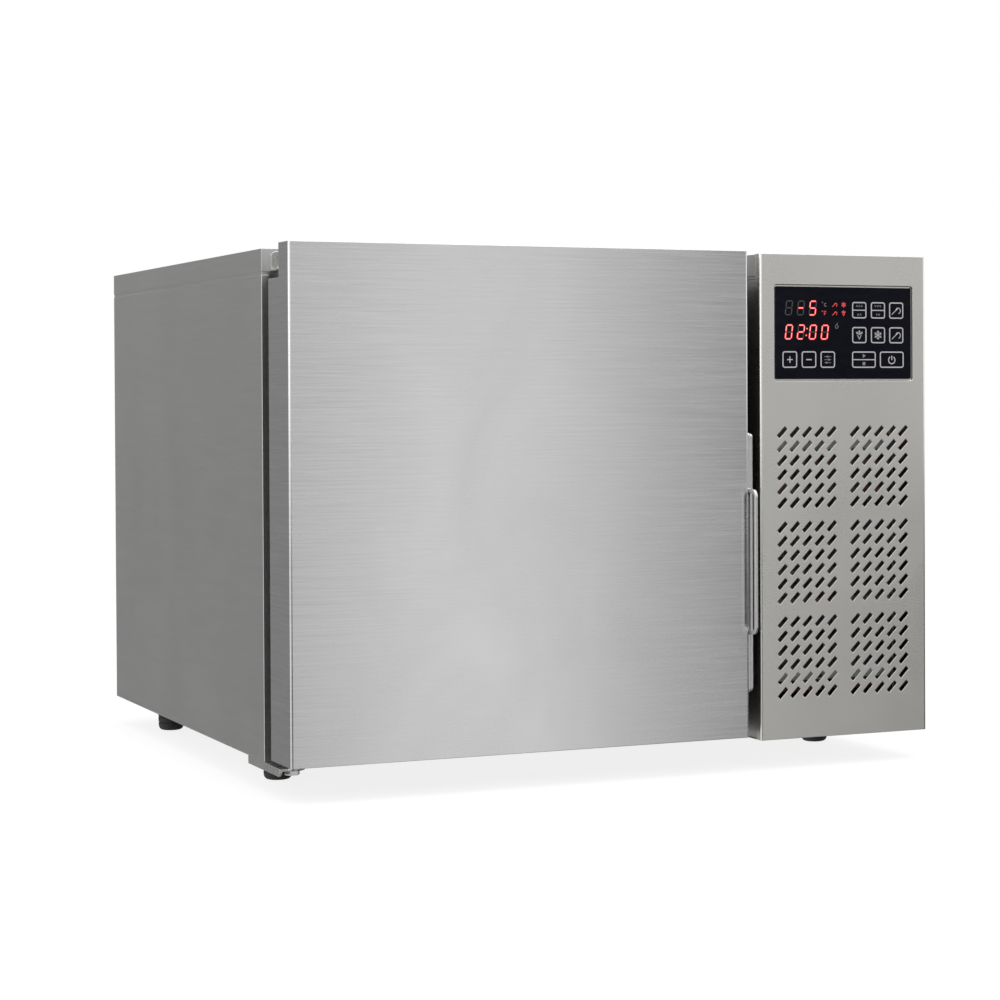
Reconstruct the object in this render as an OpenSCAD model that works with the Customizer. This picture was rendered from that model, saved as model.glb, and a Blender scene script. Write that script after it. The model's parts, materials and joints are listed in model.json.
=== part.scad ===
// Countertop blast chiller: an insulated cabinet with a side-hinged door on the left and a
// machine compartment on the right. Millimetres, +Z up, the door faces -Y.
// Modules are laid out from the front left corner of the door on the floor. from_corner()
// then moves them so that the origin is the centre of the footprint, on the floor.

/* [Casing] */
// Width over the side panels
case_w = 630; // [624:1:636]
// Depth from the door's face to the back
case_d = 622; // [616:1:628]
// Height of the casing without its feet
case_h = 450; // [446:1:454]
// Height of the rubber feet
foot_h = 27.5; // [26:0.5:32]
// Thickness of the stainless sheet
sheet = 1; // [0.8:0.1:1]
// Height of the top cover's turned-down band
band_h = 23; // [22:0.5:24]

/* [Chamber] */
// Clear width inside the liner
chamber_w = 345; // [340:1:348]
// Clear height inside the liner
chamber_h = 345; // [340:1:348]
// Depth from the cabinet's face to the liner's back
chamber_d = 494; // [490:1:498]
// Number of tray levels
levels = 3; // [2:1:4]

/* [Door] */
// Door width
door_w = 439; // [437:1:440]
// Door thickness
door_t = 58; // [56:1:60]
// Thickness of the part that covers the top band
lip_t = 28; // [26:1:29]
// Space between door and cabinet, filled by the gasket
gasket_gap = 20; // [19:0.5:22]
// Gap between the door's edge and the machine side
side_gap = 13; // [12:0.5:14]

/* [Hinge] */
// Hinge axis, measured from the door's left edge
hinge_x = 14; // [13:0.5:15]
// Hinge axis, measured from the door's face
hinge_y = 42; // [41:0.5:43]
// Hinge pin radius
pin_r = 4; // [3.5:0.1:4.2]

/* [Handle] */
// Length of the handle strip
strip_len = 240; // [236:1:246]
// Length of the bowed grip
grip_len = 134; // [128:1:138]
// How far the grip stands out in front of the door
grip_out = 13; // [12:0.5:20]

/* [Control panel] */
// Width of the control glass
glass_w = 145.5; // [140:0.5:146]
// Height of the control glass
glass_h = 86; // [80:0.5:88]

/* [Vents] */
// Slot length
slot_len = 11.8; // [10:0.1:12]
// Slot width
slot_w = 3.8; // [3:0.1:4]
// Distance from slot to slot
slot_pitch = 13.15; // [13:0.05:13.3]

/* [Hidden] */
$fn = 48;
fit = 0.05;      // running clearance of a hinge pin or a fan spindle
slack = 0.1;     // clearance between fixed round pieces
parting = 0.3;   // air between bodies that move against each other
seam = 0.02;     // line of braze, weld or glue between the pieces of one node

case_top = foot_h + case_h;
seam_z = case_top - band_h;
floor_z = foot_h + sheet;            // top of the base pan
face_y = door_t + gasket_gap;        // front plane of the insulated cabinet
panel_y = case_d - 3;                // rear panels lie 3 mm inside the rim
bezel_x = door_w + side_gap;
bezel_y = 1.3;
bezel_d = 9;
wing_y = bezel_y + bezel_d;          // where cover and pan start on the machine side
wall_x = bezel_x + sheet;            // left face of the machine side wall

chamber_x = 50;
chamber_z = 82;
chamber_x1 = chamber_x + chamber_w;
chamber_z1 = chamber_z + chamber_h;
chamber_y1 = face_y + chamber_d;
chamber_mid = [chamber_x + chamber_w / 2, chamber_z + chamber_h / 2];
frame_t = 3;                         // thickness of the plastic front frame
foam_y1 = panel_y - 7;

door_z0 = foot_h + 4;
door_z1 = case_top + 2.5;
step_z = seam_z - 4.5;               // top of the full-thickness part of the door
hem_h = 2.8;                         // set-back strip along the lower edge of the cover's band
bush_r = 6.5;
bush_len = 22;
leaf_t = 2.5;                        // thickness of the hinge brackets
leaf_z = seam_z + hem_h + 0.5;       // underside of the upper hinge bracket

strip_z0 = 73;
grip_z0 = strip_z0 + (strip_len - grip_len) / 2 + 1;
strip_t = 2.8;                       // thickness of the handle's outer strip
grip_w = 2.8;                        // thickness of the bowed plate under it
grip_bar = 3.8;                      // thickness of the grip, front to back
strip_x1 = door_w + grip_w + strip_t;  // outer face of the handle
handle_y = 9;                        // distance of its screws from the door's face

foot_x = 36;
foot_front_y = 156;
foot_rear_y = 533;
foot_r = 13.4;

glass_t = 2.2;
glass_y = bezel_y + 0.4;             // front of the control glass
seat_y = glass_y + glass_t + sheet;  // back of the ledge that holds it
glass_mid = [541.7, 405];            // x and z of the control glass's centre
recess = 1.7;                        // gap round the glass inside its recess
vent_x = [501.4, 579];
vent_z = [279.7, 191.4, 103.3];

compartment_x1 = case_w - sheet;
cond_x = 470;                        // condenser frame, left
cond_w = 139;
cond_y = 26;
cond_d = 40;
cond_z = 78;
cond_h = 226.2;
cond_r = 3.5;
cond_cols = [cond_y + 12, cond_y + 28];
cond_rows = [for (i = [0:7]) cond_z + 22 + i * 26];
cond_mid = [cond_x + cond_w / 2, cond_z + cond_h / 2];
comp_mid = [541, 470];               // compressor axis, x and y
comp_r = 72;
drier_at = [480, 330, 150];          // bottom end of the filter drier

evap_x = 78;
evap_w = 274;
evap_y = 536;
evap_d = 30;
evap_r = 5;
evap_rows = [for (i = [0:7]) chamber_z + 50 + i * 36];
cover_y = 462;                       // front face of the evaporator cover
suction = [evap_y + 15, evap_rows[7]];  // y and z of the pipes through the chamber wall
liquid = [evap_y + 15, evap_rows[0]];
pipe_r = 4;

sensor_at = [494, 300];
gland_at = [596, 70];
drain_at = [chamber_mid.x, face_y + 52];

steel = "silver";
dark = "dimgray";
black = "black";
copper = "peru";

// ---- helpers ----

module from_corner() {
    translate([-case_w / 2, -(case_d - grip_out) / 2, 0]) children();
}

// A box from one corner to the other
module span(a, b) {
    translate(a) cube(b - a);
}

module rod_x(p, len, r) {
    translate(p) rotate([0, 90, 0]) cylinder(h = len, r = r);
}

module rod_y(p, len, r) {
    translate(p) rotate([-90, 0, 0]) cylinder(h = len, r = r);
}

module rod_z(p, len, r) {
    translate(p) cylinder(h = len, r = r);
}

// Draws a flat shape given in x and z, from y to y + t
module upright(y, t) {
    translate([0, y + t, 0]) rotate([90, 0, 0]) linear_extrude(t) children();
}

// Draws a flat shape given in y and z, from x to x + t
module sideways(x, t) {
    translate([x, 0, 0]) rotate([90, 0, 90]) linear_extrude(t) children();
}

// Rectangle with round corners, from its low corner
module round_rect(low, size, r) {
    translate([low.x + r, low.y]) square([size.x - 2 * r, size.y]);
    translate([low.x, low.y + r]) square([size.x, size.y - 2 * r]);
    for (x = [low.x + r, low.x + size.x - r], y = [low.y + r, low.y + size.y - r])
        translate([x, y]) circle(r);
}

// Rectangle in plan whose two front corners are round
module round_front(low, size, r) {
    translate([low.x + r, low.y]) square([size.x - 2 * r, size.y]);
    translate([low.x, low.y + r]) square([size.x, size.y - r]);
    for (x = [low.x + r, low.x + size.x - r]) translate([x, low.y + r]) circle(r);
}

// Plan of the casing: the insulated cabinet, and the machine side that reaches further forward
module casing_plan(inset) {
    difference() {
        translate([inset, wing_y + inset]) square([case_w - 2 * inset, case_d - wing_y - 2 * inset]);
        translate([-1, 0]) square([bezel_x + inset + 1, face_y + inset]);
    }
}

// One block of slanted slots, given in x and z
module slots(mid, columns, rows) {
    for (i = [0:columns - 1], j = [0:rows - 1])
        translate(mid + slot_pitch * [i - (columns - 1) / 2, j - (rows - 1) / 2])
            rotate(45) square([slot_len, slot_w], center = true);
}

module pan_head(r, h) {
    cylinder(h = h * 0.6, r = r);
    translate([0, 0, h * 0.6]) cylinder(h = h * 0.4, r1 = r, r2 = r * 0.72);
}

// ---- casing ----

module base_pan() {
    color(steel) from_corner() difference() {
        union() {
            translate([0, 0, foot_h]) linear_extrude(sheet) casing_plan(0);
            span([sheet, face_y + 4, foot_h], [2 * sheet, panel_y - 3, floor_z + 12]);
            span([compartment_x1 - sheet, wing_y + 2, foot_h], [compartment_x1, panel_y - 3, floor_z + 12]);
            span([sheet, panel_y - 3, foot_h], [compartment_x1, panel_y - 2, floor_z + 12]);
        }
        for (p = foot_points()) rod_z([p.x, p.y, foot_h - 1], 4, 3.3);
        for (y = lower_screw_y()) rod_z([hinge_x - 1.5, y, foot_h - 1], 4, 2.1);
        rod_z([drain_at.x, drain_at.y, foot_h - 1], 4, 9);
    }
}

module left_side_panel() {
    color(steel) from_corner() {
        span([0, face_y, floor_z], [sheet, case_d, seam_z]);
        span([sheet, face_y, floor_z], [16, face_y + sheet, seam_z]);
        rear_return(sheet, 16);
    }
}

// Inward fold that a rear panel is screwed to
module rear_return(x0, x1) {
    difference() {
        span([x0, panel_y - sheet - 1, floor_z + 12], [x1, panel_y - sheet, seam_z]);
        for (z = rear_screw_z(), x = rear_screw_x()) rod_y([x, panel_y - 4, z], 5, 2.1);
    }
}

module right_side_panel() {
    color(steel) from_corner() {
        difference() {
            span([compartment_x1, wing_y, floor_z], [case_w, case_d, seam_z]);
            sideways(compartment_x1 - 1, sheet + 2) {
                slots([500, 320], 9, 5);
                slots([500, 130], 9, 8);
            }
        }
        rear_return(compartment_x1 - 15, compartment_x1);
    }
}

module top_cover() {
    color(steel) from_corner() difference() {
        union() {
            translate([0, 0, case_top - sheet]) linear_extrude(sheet) casing_plan(0);
            translate([0, 0, seam_z + hem_h]) linear_extrude(band_h - hem_h) difference() {
                casing_plan(0);
                casing_plan(sheet);
            }
            translate([0, 0, seam_z]) linear_extrude(hem_h) difference() {
                casing_plan(0.4);
                casing_plan(sheet);
            }
        }
        for (x = upper_screw_x()) rod_y([x, face_y - 1, upper_screw_z()], 3, 2.1);
    }
}

module rear_sheet(x0, x1) {
    difference() {
        span([x0, panel_y - sheet, floor_z], [x1, panel_y, seam_z]);
        for (z = rear_screw_z(), x = rear_screw_x()) rod_y([x, panel_y - 2, z], 3, 2.1);
    }
}

module rear_panel() {
    color(steel) from_corner() rear_sheet(sheet, wall_x - 0.5);
}

module rear_service_panel() {
    color(steel) from_corner() difference() {
        rear_sheet(wall_x + 0.5, compartment_x1);
        upright(panel_y - 2, 3) for (z = vent_z) slots([cond_mid.x + 1, z + 40], 8, 5);
        rod_y([gland_at.x, panel_y - 2, gland_at.y], 3, 8);
    }
}

function rear_screw_x() = [9, wall_x - 8, wall_x + 8, compartment_x1 - 8];
function rear_screw_z() = [foot_h + 24, foot_h + 214, seam_z - 18];

module rear_panel_screws() {
    color(steel) from_corner() for (x = rear_screw_x(), z = rear_screw_z()) {
        translate([x, panel_y, z]) rotate([-90, 0, 0]) pan_head(3.6, 2.4);
        rod_y([x, panel_y - 6, z], 6, 1.9);
    }
}

module machine_side_wall() {
    color(steel) from_corner() difference() {
        union() {
            span([wall_x, bezel_y + 3, floor_z], [wall_x + sheet, panel_y - 2, case_top - sheet]);
            span([wall_x - 15, panel_y - 2, floor_z + 12], [wall_x + 16, panel_y - sheet, seam_z]);
        }
        for (z = rear_screw_z(), x = rear_screw_x()) rod_y([x, panel_y - 4, z], 5, 2.1);
        for (p = [suction, liquid]) rod_x([wall_x - 1, p.x, p.y], 3, pipe_r + slack);
        // notches for the pan's rear upstand and the cover's front band
        span([wall_x - 1, panel_y - 3.2, floor_z - 1], [wall_x + sheet + 1, panel_y, floor_z + 12.2]);
        span([wall_x - 1, wing_y - 0.2, seam_z - 0.2], [wall_x + sheet + 1, wing_y + sheet + 0.2, case_top]);
    }
}

module front_bezel() {
    color(steel) from_corner() difference() {
        union() {
            difference() {
                bezel_block(0);
                bezel_block(sheet);
            }
            // folded wall and ledge that hold the control glass
            upright(bezel_y + sheet / 2, seat_y - bezel_y - sheet / 2) glass_outline(recess + sheet, 3.5);
        }
        upright(bezel_y - 1, glass_y + glass_t - bezel_y + 1) glass_outline(recess, 2.5);
        upright(bezel_y - 1, 12) glass_outline(-5, 2);
        upright(bezel_y - 1, 3) for (x = vent_x, z = vent_z) slots([x, z], 5, 6);
    }
}

// Solid outline of the bezel, or its inside when inset by the sheet
module bezel_block(inset) {
    translate([0, 0, foot_h + inset]) linear_extrude(case_h + 0.5 - 2 * inset)
        round_front([bezel_x + inset, bezel_y + inset],
            [case_w - bezel_x - 2 * inset, bezel_d + (inset > 0 ? 5 : 0)], 2.2 - inset);
}

// The control glass's outline, grown by a margin
module glass_outline(margin, r) {
    round_rect([glass_mid.x - glass_w / 2 - margin, glass_mid.y - glass_h / 2 - margin],
        [glass_w + 2 * margin, glass_h + 2 * margin], r);
}

module front_frame() {
    color(dark) from_corner() difference() {
        span([16, face_y, floor_z], [bezel_x, face_y + frame_t, seam_z]);
        span([chamber_x, face_y - 1, chamber_z], [chamber_x1, face_y + 9, chamber_z1]);
    }
}

// Five rigid boards glued round the liner
module insulation() {
    low = [chamber_x - sheet, 0, chamber_z - sheet];
    high = [chamber_x1 + sheet, chamber_y1 + sheet, chamber_z1 + sheet];
    y0 = face_y + frame_t;
    color("khaki") from_corner() difference() {
        union() {
            span([2 * sheet, y0, floor_z], [wall_x, foam_y1, low.z]);
            span([2 * sheet, y0, high.z], [wall_x, foam_y1, case_top - sheet]);
            span([2 * sheet, y0, low.z + seam], [low.x, foam_y1, high.z - seam]);
            span([high.x, y0, low.z + seam], [wall_x, foam_y1, high.z - seam]);
            span([low.x + seam, high.y, low.z + seam], [high.x - seam, foam_y1, high.z - seam]);
        }
        for (p = foot_points()) rod_z([p.x, p.y, floor_z - 1], 8, 8);
        span([4, face_y, seam_z], [62, face_y + 18, case_top]);
        span([6, face_y, floor_z - 1], [20, face_y + 42, floor_z + 9]);
        for (p = [suction, liquid]) rod_x([chamber_x1, p.x, p.y], 80, pipe_r + slack);
        rod_z([drain_at.x, drain_at.y, 0], chamber_z, 9);
        reed_block(slack);
    }
}

module inner_liner() {
    color("lightgray") from_corner() difference() {
        span([chamber_x - sheet, face_y + frame_t, chamber_z - sheet],
            [chamber_x1 + sheet, chamber_y1 + sheet, chamber_z1 + sheet]);
        span([chamber_x, face_y, chamber_z], [chamber_x1, chamber_y1, chamber_z1]);
        for (p = [suction, liquid]) rod_x([chamber_x1 - 1, p.x, p.y], 4, pipe_r + slack);
        rod_z([drain_at.x, drain_at.y, chamber_z - 3], 5, 9);
    }
}

module drain_fitting() {
    color(dark) from_corner() difference() {
        union() {
            rod_z([drain_at.x, drain_at.y, chamber_z], 1.5, 14);
            rod_z([drain_at.x, drain_at.y, foot_h - 4], chamber_z - foot_h + 4, 9 - slack);
        }
        rod_z([drain_at.x, drain_at.y, 0], 100, 6);
    }
}

// ---- feet ----

function foot_points() = [for (y = [foot_front_y, foot_rear_y], x = [foot_x, case_w - foot_x]) [x, y]];

module foot(i) {
    p = foot_points()[i];
    color(black) from_corner() translate([p.x, p.y, 0]) difference() {
        union() {
            cylinder(h = foot_h, r1 = foot_r - 1.3, r2 = foot_r);
            translate([0, 0, foot_h - 3]) cylinder(h = 3, r = foot_r + 0.6);
        }
        translate([0, 0, 10]) cylinder(h = 30, r = 3 + slack);
    }
}

module foot_screws() {
    color(steel) from_corner() for (p = foot_points()) translate([p.x, p.y, floor_z]) {
        difference() {
            pan_head(6, 4);
            translate([0, 0, 2]) cylinder(h = 3, r = 2.9, $fn = 6);
        }
        translate([0, 0, -17]) cylinder(h = 17, r = 3);
    }
}

// ---- chamber fittings ----

// Perforated side rack with one channel rail per level, laid out for the left wall
module rack() {
    pitch = (chamber_h - 45) / levels;
    plate_x = chamber_x + 2.5;
    inner_x = plate_x + 1.2 + seam;
    difference() {
        span([plate_x, face_y + 22, chamber_z + 28], [plate_x + 1.2, face_y + 360, chamber_z1 - 28]);
        for (i = [0:levels - 1], y = [60, 150, 240])
            sideways(plate_x - 1, 4)
                round_rect([face_y + y, chamber_z + 52 + i * pitch], [70, pitch - 44], 8);
    }
    for (i = [0:levels - 1], dz = [0, 16])
        span([inner_x, face_y + 14, chamber_z + 30 + i * pitch + dz],
            [plate_x + 15, face_y + 366, chamber_z + 31.2 + i * pitch + dz]);
    for (y = [40, 345], z = [40, chamber_h - 40]) {
        rod_x([chamber_x, face_y + y, chamber_z + z], 2.5 - seam, 4);
        rod_x([inner_x, face_y + y, chamber_z + z], 2, 5);
    }
}

module rack_left() {
    color(steel) from_corner() rack();
}

module rack_right() {
    color(steel) from_corner() translate([2 * chamber_mid.x, 0, 0]) mirror([1, 0, 0]) rack();
}

module evaporator_cover() {
    x0 = chamber_x;
    x1 = chamber_x1;
    color("lightgray") from_corner() difference() {
        union() {
            span([x0, cover_y, chamber_z + 2], [x1, cover_y + 1.2, chamber_z1 - 2]);
            span([x0, cover_y, chamber_z + 2], [x0 + 1.2, cover_y + 16, chamber_z1 - 2]);
            span([x1 - 1.2, cover_y, chamber_z + 2], [x1, cover_y + 16, chamber_z1 - 2]);
        }
        rod_y([chamber_mid.x, cover_y - 1, chamber_mid.y], 4, 92);
        upright(cover_y - 1, 4) for (dx = [-1, 1], i = [0:5])
            round_rect([chamber_mid.x + dx * 136 - 14, chamber_z + 24 + i * 52], [28, 8], 3.9);
    }
}

// Moulded guard: flat rings on four arms, with feet that rest on the cover
module fan_guard() {
    color(dark) from_corner() translate([chamber_mid.x, cover_y - 6, chamber_mid.y]) rotate([-90, 0, 0]) {
        for (r = [18:12.5:94]) difference() {
            cylinder(h = 3, r = r + 1.2);
            translate([0, 0, -1]) cylinder(h = 5, r = r - 1.2);
        }
        for (a = [45:90:315]) rotate(a) {
            translate([18, -1.5, 0.4]) cube([80, 3, 2.2]);
            translate([98, 0, 0]) cylinder(h = 6, r = 4.5);
        }
    }
}

// Axial fan: hub, pitched blades and the spindle that runs in the motor
module fan(hub_r, tip_r, depth, blades, spindle_r, spindle_len) {
    cylinder(h = depth, r = hub_r);
    translate([0, 0, depth]) cylinder(h = spindle_len, r = spindle_r);
    intersection() {
        cylinder(h = depth, r = tip_r);
        for (i = [0:blades - 1]) rotate(360 / blades * i) translate([hub_r - 1, 0, depth / 2])
            rotate([35, 0, 0]) translate([0, -hub_r * 0.95, -1]) cube([tip_r, hub_r * 1.9, 2]);
    }
}

module evaporator_fan_blade() {
    color(dark) from_corner() translate([chamber_mid.x, cover_y + 8, chamber_mid.y])
        rotate([-90, 0, 0]) fan(20, 87, 22, 5, 4, 24);
}

module evaporator_fan_motor() {
    color(dark) from_corner() difference() {
        union() {
            rod_y([chamber_mid.x, cover_y + 34, chamber_mid.y], 30, 38);
            rod_y([chamber_mid.x, cover_y + 31, chamber_mid.y], 3, 12);
        }
        rod_y([chamber_mid.x, cover_y + 30, chamber_mid.y], 27, 4 + fit);
    }
}

module evaporator_fan_bracket() {
    color(steel) from_corner() for (s = [-1, 1]) {
        x = chamber_mid.x + s * 113;
        span([chamber_mid.x - 114, cover_y + 64, chamber_mid.y - 15],
            [chamber_mid.x + 114, cover_y + 66, chamber_mid.y + 15]);
        span([x - 1, cover_y + 1.2, chamber_mid.y - 15], [x + 1, cover_y + 64, chamber_mid.y + 15]);
    }
}

// Half ring of tube between two tubes at p and q, given in y and z; side 1 bulges towards +X
module u_bend(x, p, q, side, r) {
    d = q - p;
    reach = norm(d) / 2 + r + 1;
    translate([x, (p.x + q.x) / 2, (p.y + q.y) / 2]) rotate([atan2(-d.x, d.y), 0, 0]) intersection() {
        rotate([90, 0, 0]) rotate_extrude() translate([norm(d) / 2, 0]) circle(r);
        span([side > 0 ? 0 : -reach, -reach, -reach], [side > 0 ? reach : 0, reach, reach]);
    }
}

module evaporator_fins() {
    last = evap_x + evap_w - 10;
    color("gainsboro") from_corner() difference() {
        for (x = [evap_x + 6:9.5:last]) {
            plate = x < evap_x + 7 || x > last - 9.5;
            span([x, evap_y, chamber_z + 18],
                [x + (plate ? 1.6 : 0.6), plate ? chamber_y1 : evap_y + evap_d, chamber_z1 - 18]);
        }
        for (z = evap_rows) rod_x([evap_x, evap_y + 15, z], evap_w, evap_r + slack);
    }
}

module evaporator_tubes() {
    y = evap_y + 15;
    color(copper) from_corner() {
        for (z = evap_rows) rod_x([evap_x, y, z], evap_w, evap_r);
        for (i = [0:len(evap_rows) - 2]) {
            right = i % 2 == 1;
            u_bend(right ? evap_x + evap_w : evap_x, [y, evap_rows[i]], [y, evap_rows[i + 1]],
                right ? 1 : -1, evap_r);
        }
    }
}

module evaporator_tray() {
    color("lightgray") from_corner() difference() {
        span([56, evap_y - 5, chamber_z], [376, chamber_y1 - 1, chamber_z + 13]);
        span([57, evap_y - 4, chamber_z + 1], [375, chamber_y1 - 2, chamber_z + 15]);
    }
}

module air_sensor() {
    color(steel) from_corner() {
        rod_x([chamber_x1 - 3, sensor_at.x, sensor_at.y], 3, 7);
        rod_x([chamber_x1 - 34, sensor_at.x, sensor_at.y], 31, 2.5);
    }
}

// ---- door ----

module door_shape(inset) {
    translate([0, 0, door_z0 + inset]) linear_extrude(step_z - door_z0 - 2 * inset)
        round_front([inset, inset], [door_w - 2 * inset, door_t - inset + (inset > 0 ? 1 : 0)], 2 - inset);
    translate([0, 0, door_z0 + inset]) linear_extrude(door_z1 - door_z0 - 2 * inset)
        round_front([inset, inset], [door_w - 2 * inset, lip_t - 2 * inset], 2 - inset);
}

module door_skin() {
    color(steel) from_corner() difference() {
        door_shape(0);
        door_shape(sheet);
        for (z = [door_z0 - 1, step_z - 3]) rod_z([hinge_x, hinge_y, z], 5, bush_r + slack);
        handle_holes(2);
    }
}

module door_foam() {
    color("khaki") from_corner() difference() {
        union() {
            intersection() {
                door_shape(sheet);
                span([0, 0, 0], [door_w, door_t - sheet, door_z1]);
            }
            span([71, door_t - 2, 101], [door_w - 65, door_t + 9, step_z - 41]);
        }
        rod_z([hinge_x, hinge_y, 0], door_z0 + bush_len + 1, bush_r + slack);
        rod_z([hinge_x, hinge_y, step_z - bush_len - 1], bush_len + 9, bush_r + slack);
        handle_holes(2);
        magnet_block(slack);
    }
}

module door_liner() {
    color("lightgray") from_corner() difference() {
        union() {
            span([sheet, door_t - sheet, door_z0 + sheet], [door_w - sheet, door_t, step_z - sheet]);
            span([70, door_t - sheet, 100], [door_w - 64, door_t + 10, step_z - 40]);
        }
        span([71, door_t - 2, 101], [door_w - 65, door_t + 9, step_z - 41]);
    }
}

module gasket_ring(grow, y0, y1) {
    low = [28 - grow, door_z0 + 30 - grow];
    high = [door_w - 24 + grow, step_z - 4 + grow];
    width = 16 + 2 * grow;
    difference() {
        span([low.x, y0, low.y], [high.x, y1, high.y]);
        span([low.x + width, y0 - 1, low.y + width], [high.x - width, y1 + 1, high.y - width]);
    }
}

module door_gasket() {
    color(dark) from_corner() {
        gasket_ring(2, door_t, door_t + 4);
        gasket_ring(-1.5, door_t + 4, door_t + 9);
        gasket_ring(-0.5, door_t + 9, face_y - 6);
        gasket_ring(1.5, face_y - 6, face_y - parting);
    }
}

// ---- handle ----

function handle_screw_z() = [strip_z0 + 11, strip_z0 + strip_len - 11];

module handle_holes(r) {
    for (z = handle_screw_z()) rod_x([door_w - 12, handle_y, z], 30, r);
}

module handle_grip() {
    color(steel) from_corner() difference() {
        sideways(door_w, grip_w) difference() {
            union() {
                round_rect([2, strip_z0], [22, strip_len], 3);
                round_rect([-grip_out, grip_z0], [grip_out + 9, grip_len], 7);
            }
            round_rect([-grip_out + grip_bar, grip_z0 + grip_bar],
                [grip_out + 5, grip_len - 2 * grip_bar], 3.4);
        }
        handle_holes(2);
    }
}

module handle_strip() {
    color(steel) from_corner() difference() {
        sideways(door_w + grip_w, strip_t) round_rect([2.5, strip_z0 + 1], [22, strip_len - 2], 3);
        handle_holes(2);
        for (z = handle_screw_z()) rod_x([strip_x1 - 1.9, handle_y, z], 5, 3.6 + slack);
    }
}

module handle_screws() {
    color(steel) from_corner() for (z = handle_screw_z()) {
        rod_x([door_w - 11, handle_y, z], strip_t + grip_w + 9.1, 1.9);
        difference() {
            rod_x([strip_x1 - 1.9, handle_y, z], 1.8, 3.6);
            rod_x([strip_x1 - 1, handle_y, z], 3, 1.6);
        }
    }
}

// ---- hinges ----

function upper_screw_x() = [19, 43];
function upper_screw_z() = seam_z + 11;
function lower_screw_y() = [face_y + 12, face_y + 30];

// Flanged plain bearing, flange at the low end
module bush() {
    difference() {
        union() {
            cylinder(h = bush_len + 1.2, r = bush_r);
            cylinder(h = 1.2, r = 9);
        }
        translate([0, 0, -1]) cylinder(h = bush_len + 3, r = pin_r + fit);
    }
}

module upper_hinge_bush() {
    color("white") from_corner() translate([hinge_x, hinge_y, step_z + 1.2]) rotate([180, 0, 0]) bush();
}

module lower_hinge_bush() {
    color("white") from_corner() translate([hinge_x, hinge_y, door_z0 - 1.2]) bush();
}

module upper_hinge_bracket() {
    color(steel) from_corner() difference() {
        union() {
            upright(face_y - leaf_t, leaf_t) {
                round_rect([8, leaf_z], [46, 17.3], 5);
                translate([8, leaf_z]) square([46, 8]);
            }
            translate([0, 0, leaf_z]) linear_extrude(leaf_t) {
                translate([8, hinge_y]) square([32, face_y - hinge_y]);
                translate([hinge_x, hinge_y]) circle(11);
            }
        }
        rod_z([hinge_x, hinge_y, leaf_z - 1], 5, pin_r + 0.02);
        for (x = upper_screw_x()) rod_y([x, face_y - 5, upper_screw_z()], 9, 2.1);
    }
}

module lower_hinge_bracket() {
    top = foot_h;
    back = face_y + 50;
    color(steel) from_corner() difference() {
        union() {
            translate([0, 0, top - leaf_t]) linear_extrude(leaf_t) {
                translate([0, hinge_y - 9]) square([hinge_x, face_y + 48 - hinge_y]);
                translate([hinge_x - 1, hinge_y]) square([12, face_y + 39 - hinge_y]);
                translate([hinge_x, hinge_y]) circle(11);
            }
            sideways(0, leaf_t) polygon([[hinge_y - 9.5, top], [hinge_y - 8.7, top - 4],
                [hinge_y - 4, top - 7.4], [back, top - 7.4], [back, top]]);
        }
        rod_z([hinge_x, hinge_y, top - 5], 9, pin_r + 0.02);
        for (y = lower_screw_y()) rod_z([hinge_x - 1.5, y, top - 5], 9, 2.1);
    }
}

module upper_hinge_pin() {
    color(steel) from_corner() translate([hinge_x, hinge_y, leaf_z + leaf_t]) {
        cylinder(h = 2, r = 6.5);
        translate([0, 0, -29]) cylinder(h = 29, r = pin_r);
    }
}

module lower_hinge_pin() {
    color(steel) from_corner() translate([hinge_x, hinge_y, foot_h - leaf_t]) {
        translate([0, 0, -4.4]) cylinder(h = 4.4, r = 7, $fn = 6);
        cylinder(h = 24, r = pin_r);
    }
}

module hinge_washer(z0, z1) {
    translate([hinge_x, hinge_y, z0]) difference() {
        cylinder(h = z1 - z0, r = 9);
        translate([0, 0, -1]) cylinder(h = z1 - z0 + 2, r = pin_r + slack);
    }
}

module hinge_washers() {
    color(dark) from_corner() {
        hinge_washer(step_z + 1.2 + parting, leaf_z);
        hinge_washer(foot_h, door_z0 - 1.2 - parting);
    }
}

module hinge_screws() {
    color(steel) from_corner() {
        for (x = upper_screw_x()) {
            translate([x, face_y - leaf_t, upper_screw_z()]) rotate([90, 0, 0]) pan_head(3.8, 2.4);
            rod_y([x, face_y - leaf_t, upper_screw_z()], 14, 1.9);
        }
        for (y = lower_screw_y()) {
            translate([hinge_x - 1.5, y, foot_h - leaf_t]) rotate([180, 0, 0]) pan_head(3.8, 2.4);
            rod_z([hinge_x - 1.5, y, foot_h - leaf_t], 10, 1.9);
        }
    }
}

module magnet_block(grow) {
    span([door_w - 70 - grow, door_t - 9 - grow, step_z - 14 - grow],
        [door_w - 50 + grow, door_t - 2 + grow, step_z - 6 + grow]);
}

module door_magnet() {
    color(dark) from_corner() magnet_block(0);
}

module reed_block(grow) {
    span([door_w - 72 - grow, face_y + frame_t - grow, step_z - 15 - grow],
        [door_w - 48 + grow, face_y + frame_t + 7 + grow, step_z - 6 + grow]);
}

module reed_switch() {
    color(black) from_corner() reed_block(0);
}

// ---- controls ----

module control_glass() {
    color(black) from_corner() upright(glass_y, glass_t) glass_outline(0, 1.5);
}

module display_module() {
    color(dark) from_corner() {
        span([476, glass_y + glass_t, 393], [548, seat_y + 6, 441]);
        for (z = [399, 423]) span([480, seat_y + 6, z], [544, seat_y + 7, z + 6]);
    }
}

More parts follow.
